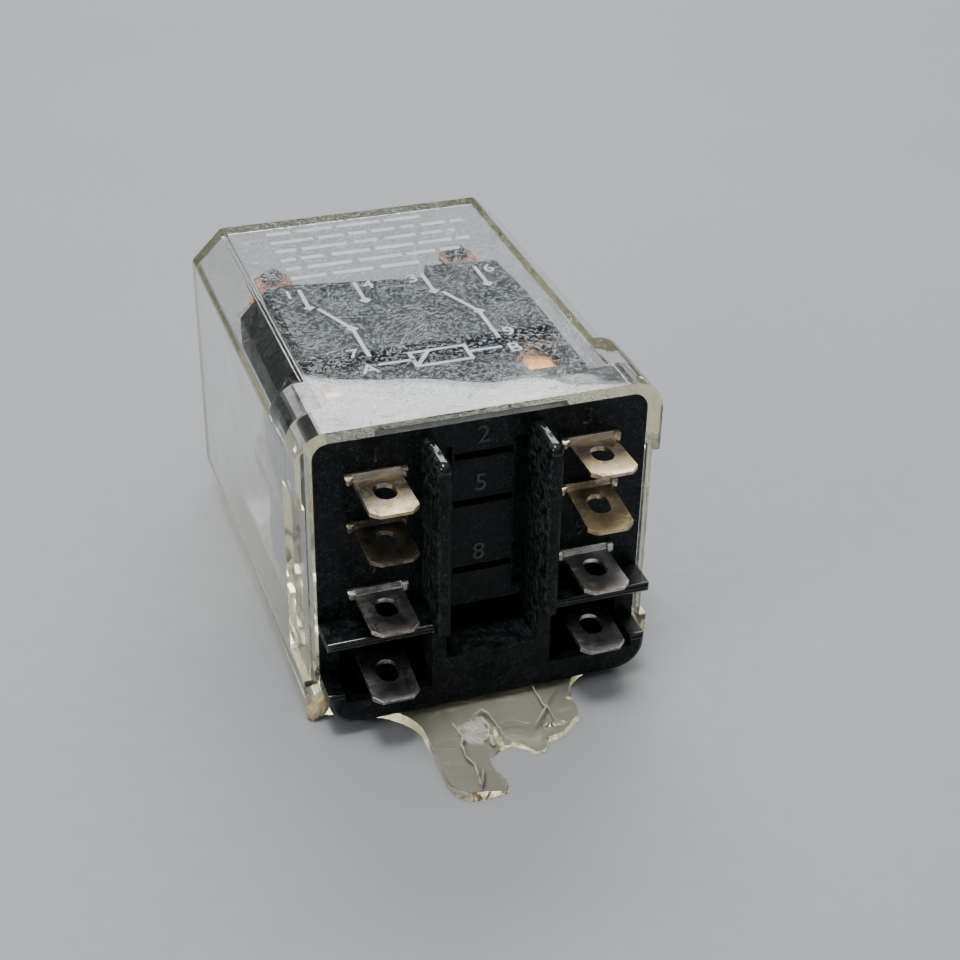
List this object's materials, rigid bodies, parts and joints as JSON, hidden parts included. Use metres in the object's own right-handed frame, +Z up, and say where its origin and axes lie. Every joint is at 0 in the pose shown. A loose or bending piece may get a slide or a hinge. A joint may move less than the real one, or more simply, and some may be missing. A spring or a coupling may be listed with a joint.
{
  "type": "plug-in relay",
  "caption": "Clear-cased plug-in power relay with flat blade terminals on a black base, hinged armature, coil and changeover contacts inside.",
  "frame": {"origin": "middle of the cover's open rim, on the side the relay rests on", "axes": "+Y from the terminal face into the case, +Z up from the resting side, +X to the right seen from the terminals"},
  "size_m": [0.0368, 0.0639, 0.0331],
  "materials": {
    "clear_cover": "clear polycarbonate, slightly yellowed, scuffed",
    "black_phenolic": "black moulded phenolic, dusty and scuffed",
    "blade_tarnished": "tinned brass, tarnished, golden where worn",
    "blade_dark": "tinned brass, dark tarnish with spots",
    "blade_bright": "tinned brass, grey silver, brushed",
    "contact_silver": "silver alloy contact, tarnished dark",
    "spring_copper": "copper alloy strip, satin",
    "copper_braid": "bare braided copper",
    "enamelled_wire": "enamelled copper wire",
    "plated_steel": "zinc plated steel, satin",
    "white_nylon": "natural white nylon",
    "blue_tape": "blue polyester coil tape",
    "spring_steel": "bright spring wire",
    "rivet_brass": "brass, satin"
  },
  "bodies": {
    "root": {"dust_cover": "clear_cover", "base": "black_phenolic", "terminal_1": "blade_tarnished", "terminal_3": "blade_tarnished", "terminal_4": "blade_dark", "terminal_6": "blade_bright", "terminal_7": "blade_bright", "terminal_9": "blade_bright", "terminal_a": "blade_bright", "terminal_b": "blade_bright", "nc_contact_left": "contact_silver", "nc_contact_right": "contact_silver", "no_contact_left": "contact_silver", "no_contact_right": "contact_silver", "coil_lead_a": "enamelled_wire", "coil_lead_b": "enamelled_wire", "yoke": "plated_steel", "core": "plated_steel", "shading_ring": "spring_copper", "bobbin": "white_nylon", "winding": "enamelled_wire", "coil_tape": "blue_tape", "frame_rivets": "rivet_brass", "return_spring": "spring_steel"},
    "armature_unit": {"armature": "plated_steel", "contact_carrier": "black_phenolic", "moving_blade_left": "spring_copper", "moving_blade_right": "spring_copper", "moving_contact_left": "contact_silver", "moving_contact_right": "contact_silver", "pigtail_left": "copper_braid", "pigtail_right": "copper_braid", "blade_rivets": "rivet_brass", "carrier_rivets": "rivet_brass"}
  },
  "joints": [
    {"name": "armature_pivot", "type": "hinge", "parent": "root", "child": "armature_unit", "pos_m": [0, 0.0076, 0.0166], "axis": [-1, 0, 0], "range_deg": [0, 2.5], "stiffness_Nm_per_rad": 0.02, "springref_deg": -6.88, "deforming": ["return_spring"]}
  ]
}
